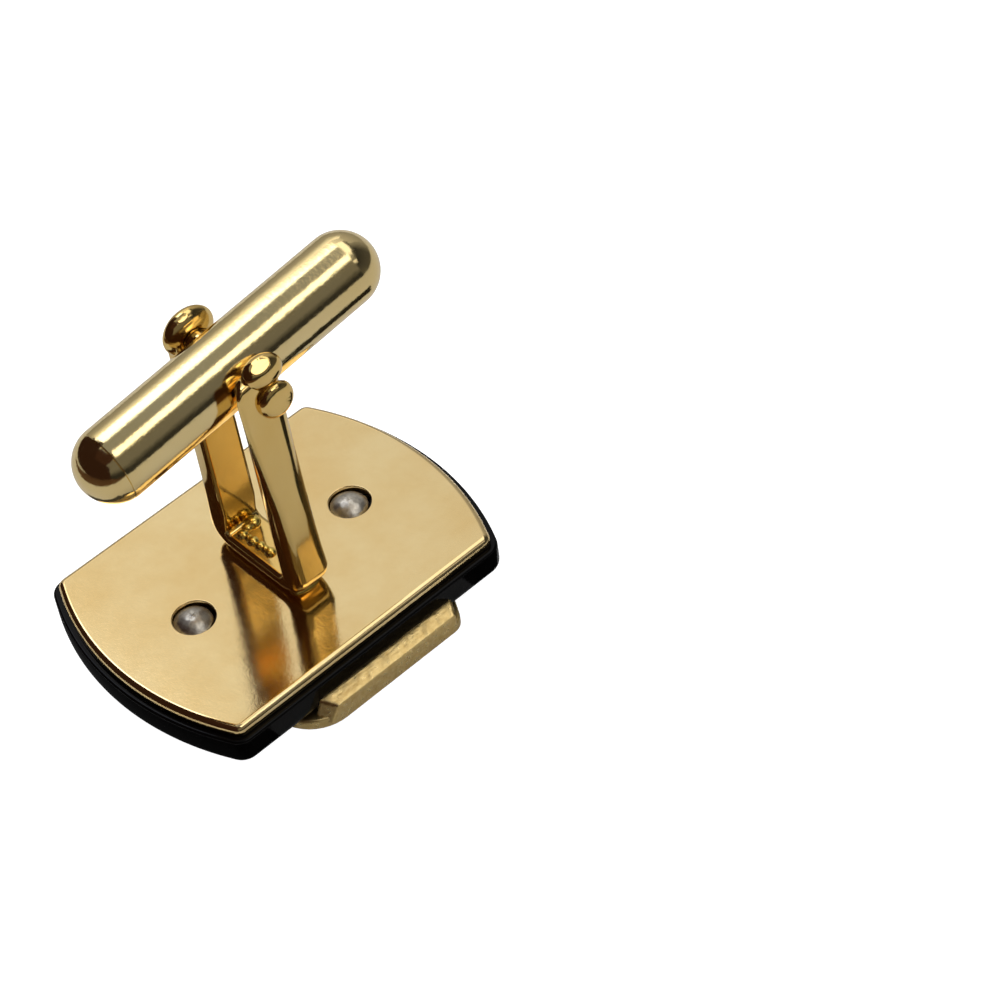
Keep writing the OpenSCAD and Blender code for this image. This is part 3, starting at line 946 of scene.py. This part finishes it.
def make_floor():
    """A white table. Camera, mirrors and glass see it white, and it keeps a faint shadow."""
    floor = primitive(bpy.ops.mesh.primitive_plane_add, "table", size=TABLE_W)
    material, tree = plain_material("white table")
    glow = add(tree, "Emission", {"Color": rgb("#FFFFFF"), "Strength": seen_by_eye(tree)})
    paper = add(tree, "BsdfDiffuse", {"Color": rgb("#8C8C8C")})
    both = add(tree, "AddShader", {0: glow.outputs[0], 1: paper.outputs[0]})
    add(tree, "OutputMaterial", {"Surface": both.outputs[0]})
    floor.data.materials.append(material)


def make_world():
    """Plain grey light for the surfaces, and white where the camera or a mirror looks past everything."""
    world = bpy.data.worlds.new("studio")
    world.use_nodes = True
    bpy.context.scene.world = world
    tree = world.node_tree
    tree.nodes.clear()
    level = add(tree, "MapRange", {"Value": seen_by_eye(tree), 3: 0.5, 4: 1.0})
    sky = add(tree, "Background", {"Color": rgb("#FFFFFF"), "Strength": level.outputs[0]})
    add(tree, "OutputWorld", {"Surface": sky.outputs[0]})


def make_lamp(name, place, size, watts):
    """A soft box that points at the object and isn't mirrored in it."""
    data = bpy.data.lights.new(name, "AREA")
    data.shape = "RECTANGLE"
    data.size, data.size_y = size
    data.energy = watts
    lamp = bpy.data.objects.new(name, data)
    bpy.context.scene.collection.objects.link(lamp)
    lamp.location = place
    lamp.rotation_euler = (AIM - lamp.location).to_track_quat("-Z", "Y").to_euler()
    lamp.visible_glossy = False


make_floor()
make_world()
make_table_card()
make_lamp("soft box behind", (0.1, 0.3, 0.36), (0.3, 0.2), 2.4)
make_lamp("soft box above", (0.06, -0.19, 0.4), (0.2, 0.12), 1.2)

# The tent as the gold mirrors it: a back wall that brightens upwards, one white window behind a grey ceiling
# and one in front of it, a bright loop that joins them at the right, a dim front wall with a lighter corner,
# and darkness at the left. These are the borders along which its cards meet
REAR_Y = 0.11
FRONT_Y = -0.1
WINDOW_Y = -0.13
WINDOW_FOOT_Y = -0.25
WALL_Y = -0.3
CORNER_Y = -0.335
CORNER_RIM_Y = -0.355
REAR_WINDOW_X = 0.1
LOOP_X = 0.145
LOOP_END_X = 0.27
SIDE_X = 0.17
FAR_X = 0.31
CORNER_END_X = 0.33
FRONT_WALL_X = 0.2
WALL_Z = 0.19
WALL_TOP_Z = 0.31
card("back wall low", 0.26, (0, H, 0), (H, H, WALL_Z), far_level=0.4)
card("back wall high", 0.4, (0, H, WALL_Z), (H, H, T), far_level=1.4)
card("back wall left", 0.04, (-H, H, 0), (0, H, T), colour="#E0A088")
card("rear ceiling left", 0.04, (-H, REAR_Y, T), (-0.02, H, T), colour="#E0A088")
card("rear window edge", 0.4, (-0.02, 0.1, T), (REAR_WINDOW_X, 0.16, T), "Y", 3.4, colour="#E6EEFF")
card("rear window", 3.4, (-0.02, 0.16, T), (REAR_WINDOW_X, H, T), colour="#E6EEFF")
card("rear window side", 2.3, (REAR_WINDOW_X, REAR_Y, T), (LOOP_X, H, T), "X", 0.92)
card("rear ceiling right", 0.92, (LOOP_X, 0.2, T), (H, H, T), "X", 0.6)
card("loop", 1.5, (LOOP_X, FRONT_Y, T), (LOOP_END_X, 0.2, T))
card("loop edge", 1.5, (LOOP_END_X, FRONT_Y, T), (0.32, 0.2, T), "X", 0.12)
card("loop right", 0.12, (0.32, FRONT_Y, T), (H, 0.2, T))
card("ceiling left", 0.06, (-H, FRONT_Y, T), (-0.14, REAR_Y, T), colour="#E0A088")
card("ceiling", 0.38, (-0.14, FRONT_Y, T), (0.09, REAR_Y, T), colour="#E4EAF6")
card("ceiling right", 0.38, (0.09, FRONT_Y, T), (LOOP_X, REAR_Y, T), "X", 1.4)
card("front ceiling left", 0.06, (-H, WALL_Y, T), (-0.04, FRONT_Y, T), colour="#E0A088")
card("front window edge", 1.6, (-0.04, WINDOW_Y, T), (0.12, FRONT_Y, T), "Y", 0.6)
card("front window", 2.4, (-0.04, WINDOW_FOOT_Y, T), (0.12, WINDOW_Y, T))
card("front window foot", 0.17, (-0.04, WALL_Y, T), (0.12, WINDOW_FOOT_Y, T), "Y", 1.6)
card("front window side", 2.2, (0.12, WINDOW_FOOT_Y, T), (SIDE_X, FRONT_Y, T), "X", 1.2)
card("front ceiling right", 0.2, (SIDE_X, CORNER_Y, T), (FAR_X, -0.2, T), "Y", 0.3)
card("front ceiling edge", 0.3, (SIDE_X, -0.2, T), (LOOP_END_X, FRONT_Y, T), "Y", 1.4)
card("front ceiling far edge", 0.5, (LOOP_END_X, -0.2, T), (FAR_X, FRONT_Y, T), "X", 0.06)
card("front ceiling far", 0.06, (FAR_X, CORNER_Y, T), (H, FRONT_Y, T))
card("left spark", 1.3, (-0.165, -0.3, SPARK_Z), (-0.12, -0.27, SPARK_Z))
card("rear spark", 0.9, (-0.15, 0.09, SPARK_Z), (-0.1, 0.115, SPARK_Z))
card("front ceiling", 0.17, (-H, -H, T), (SIDE_X, WALL_Y, T))
card("front corner rim", 0.95, (SIDE_X, CORNER_RIM_Y, T), (CORNER_END_X, CORNER_Y, T), "Y", 0.2)
card("front corner", 0.3, (SIDE_X, -H, T), (0.23, CORNER_RIM_Y, T), "X", 1)
card("front corner right", 1, (0.23, -H, T), (CORNER_END_X, CORNER_RIM_Y, T))
card("front corner end", 0.06, (CORNER_END_X, -H, T), (H, CORNER_Y, T))
card("front wall high", 0.17, (-H, -H, WALL_Z), (FRONT_WALL_X, -H, T))
card("front wall low", 0.04, (-H, -H, 0.08), (FRONT_WALL_X, -H, WALL_Z), far_level=0.17)
card("front skirt", 0.03, (-H, -H, 0), (FRONT_WALL_X, -H, 0.08))
card("front wall right", 0.1, (FRONT_WALL_X, -H, 0), (H, -H, WALL_TOP_Z), far_level=0.03)
card("front wall top", 0.1, (FRONT_WALL_X, -H, WALL_TOP_Z), (CORNER_END_X, -H, T), far_level=1)
card("front wall end", 0.03, (CORNER_END_X, -H, WALL_TOP_Z), (H, -H, T))
card("right wall front", 0.08, (H, -H, 0), (H, -0.05, T), far_level=0.03)
card("right wall middle", 0.06, (H, -0.05, 0), (H, 0.1, T), "Y", 0.28)
card("right wall", 0.28, (H, 0.1, 0), (H, H, T), far_level=0.5)
card("left wall", 0.04, (-H, -H, 0), (-H, H, T), colour="#E0A088")
card("table left", 0.05, (-H, -H, 0), (-0.045, 0.1, 0), "X", 0.12, colour="#E0B090")

# Painted shadow on the table, seen only in mirrors: dark cards close to the plates and at their right, where
# less light gets
card("painted shadow left", 0.05, (-0.014, -0.008, 0), (-0.0085, 0.01, 0))
card("painted shadow front left", 0.02, (-0.0115, -0.0105, 0), (-0.006, -0.0077, 0))
card("painted shadow front right", 0.015, (0.0072, -0.012, 0), (0.02, -0.0077, 0))
card("painted shadow front far", 0.015, (0.0105, -0.017, 0), (0.022, -0.012, 0))


def make_camera():
    """The photograph's camera, turned about its own line of sight by a few degrees."""
    data = bpy.data.cameras.new("camera")
    data.lens = LENS
    data.sensor_width = SENSOR
    data.clip_start = 0.005
    camera = bpy.data.objects.new("camera", data)
    bpy.context.scene.collection.objects.link(camera)
    camera.location = CAMERA_PLACE
    straight = Vector(CAMERA_AIM).to_track_quat("-Z", "Y")
    camera.rotation_euler = (straight @ Euler((0, 0, CAMERA_ROLL)).to_quaternion()).to_euler()
    bpy.context.scene.camera = camera


make_camera()
bpy.context.scene.view_settings.view_transform = "Standard"
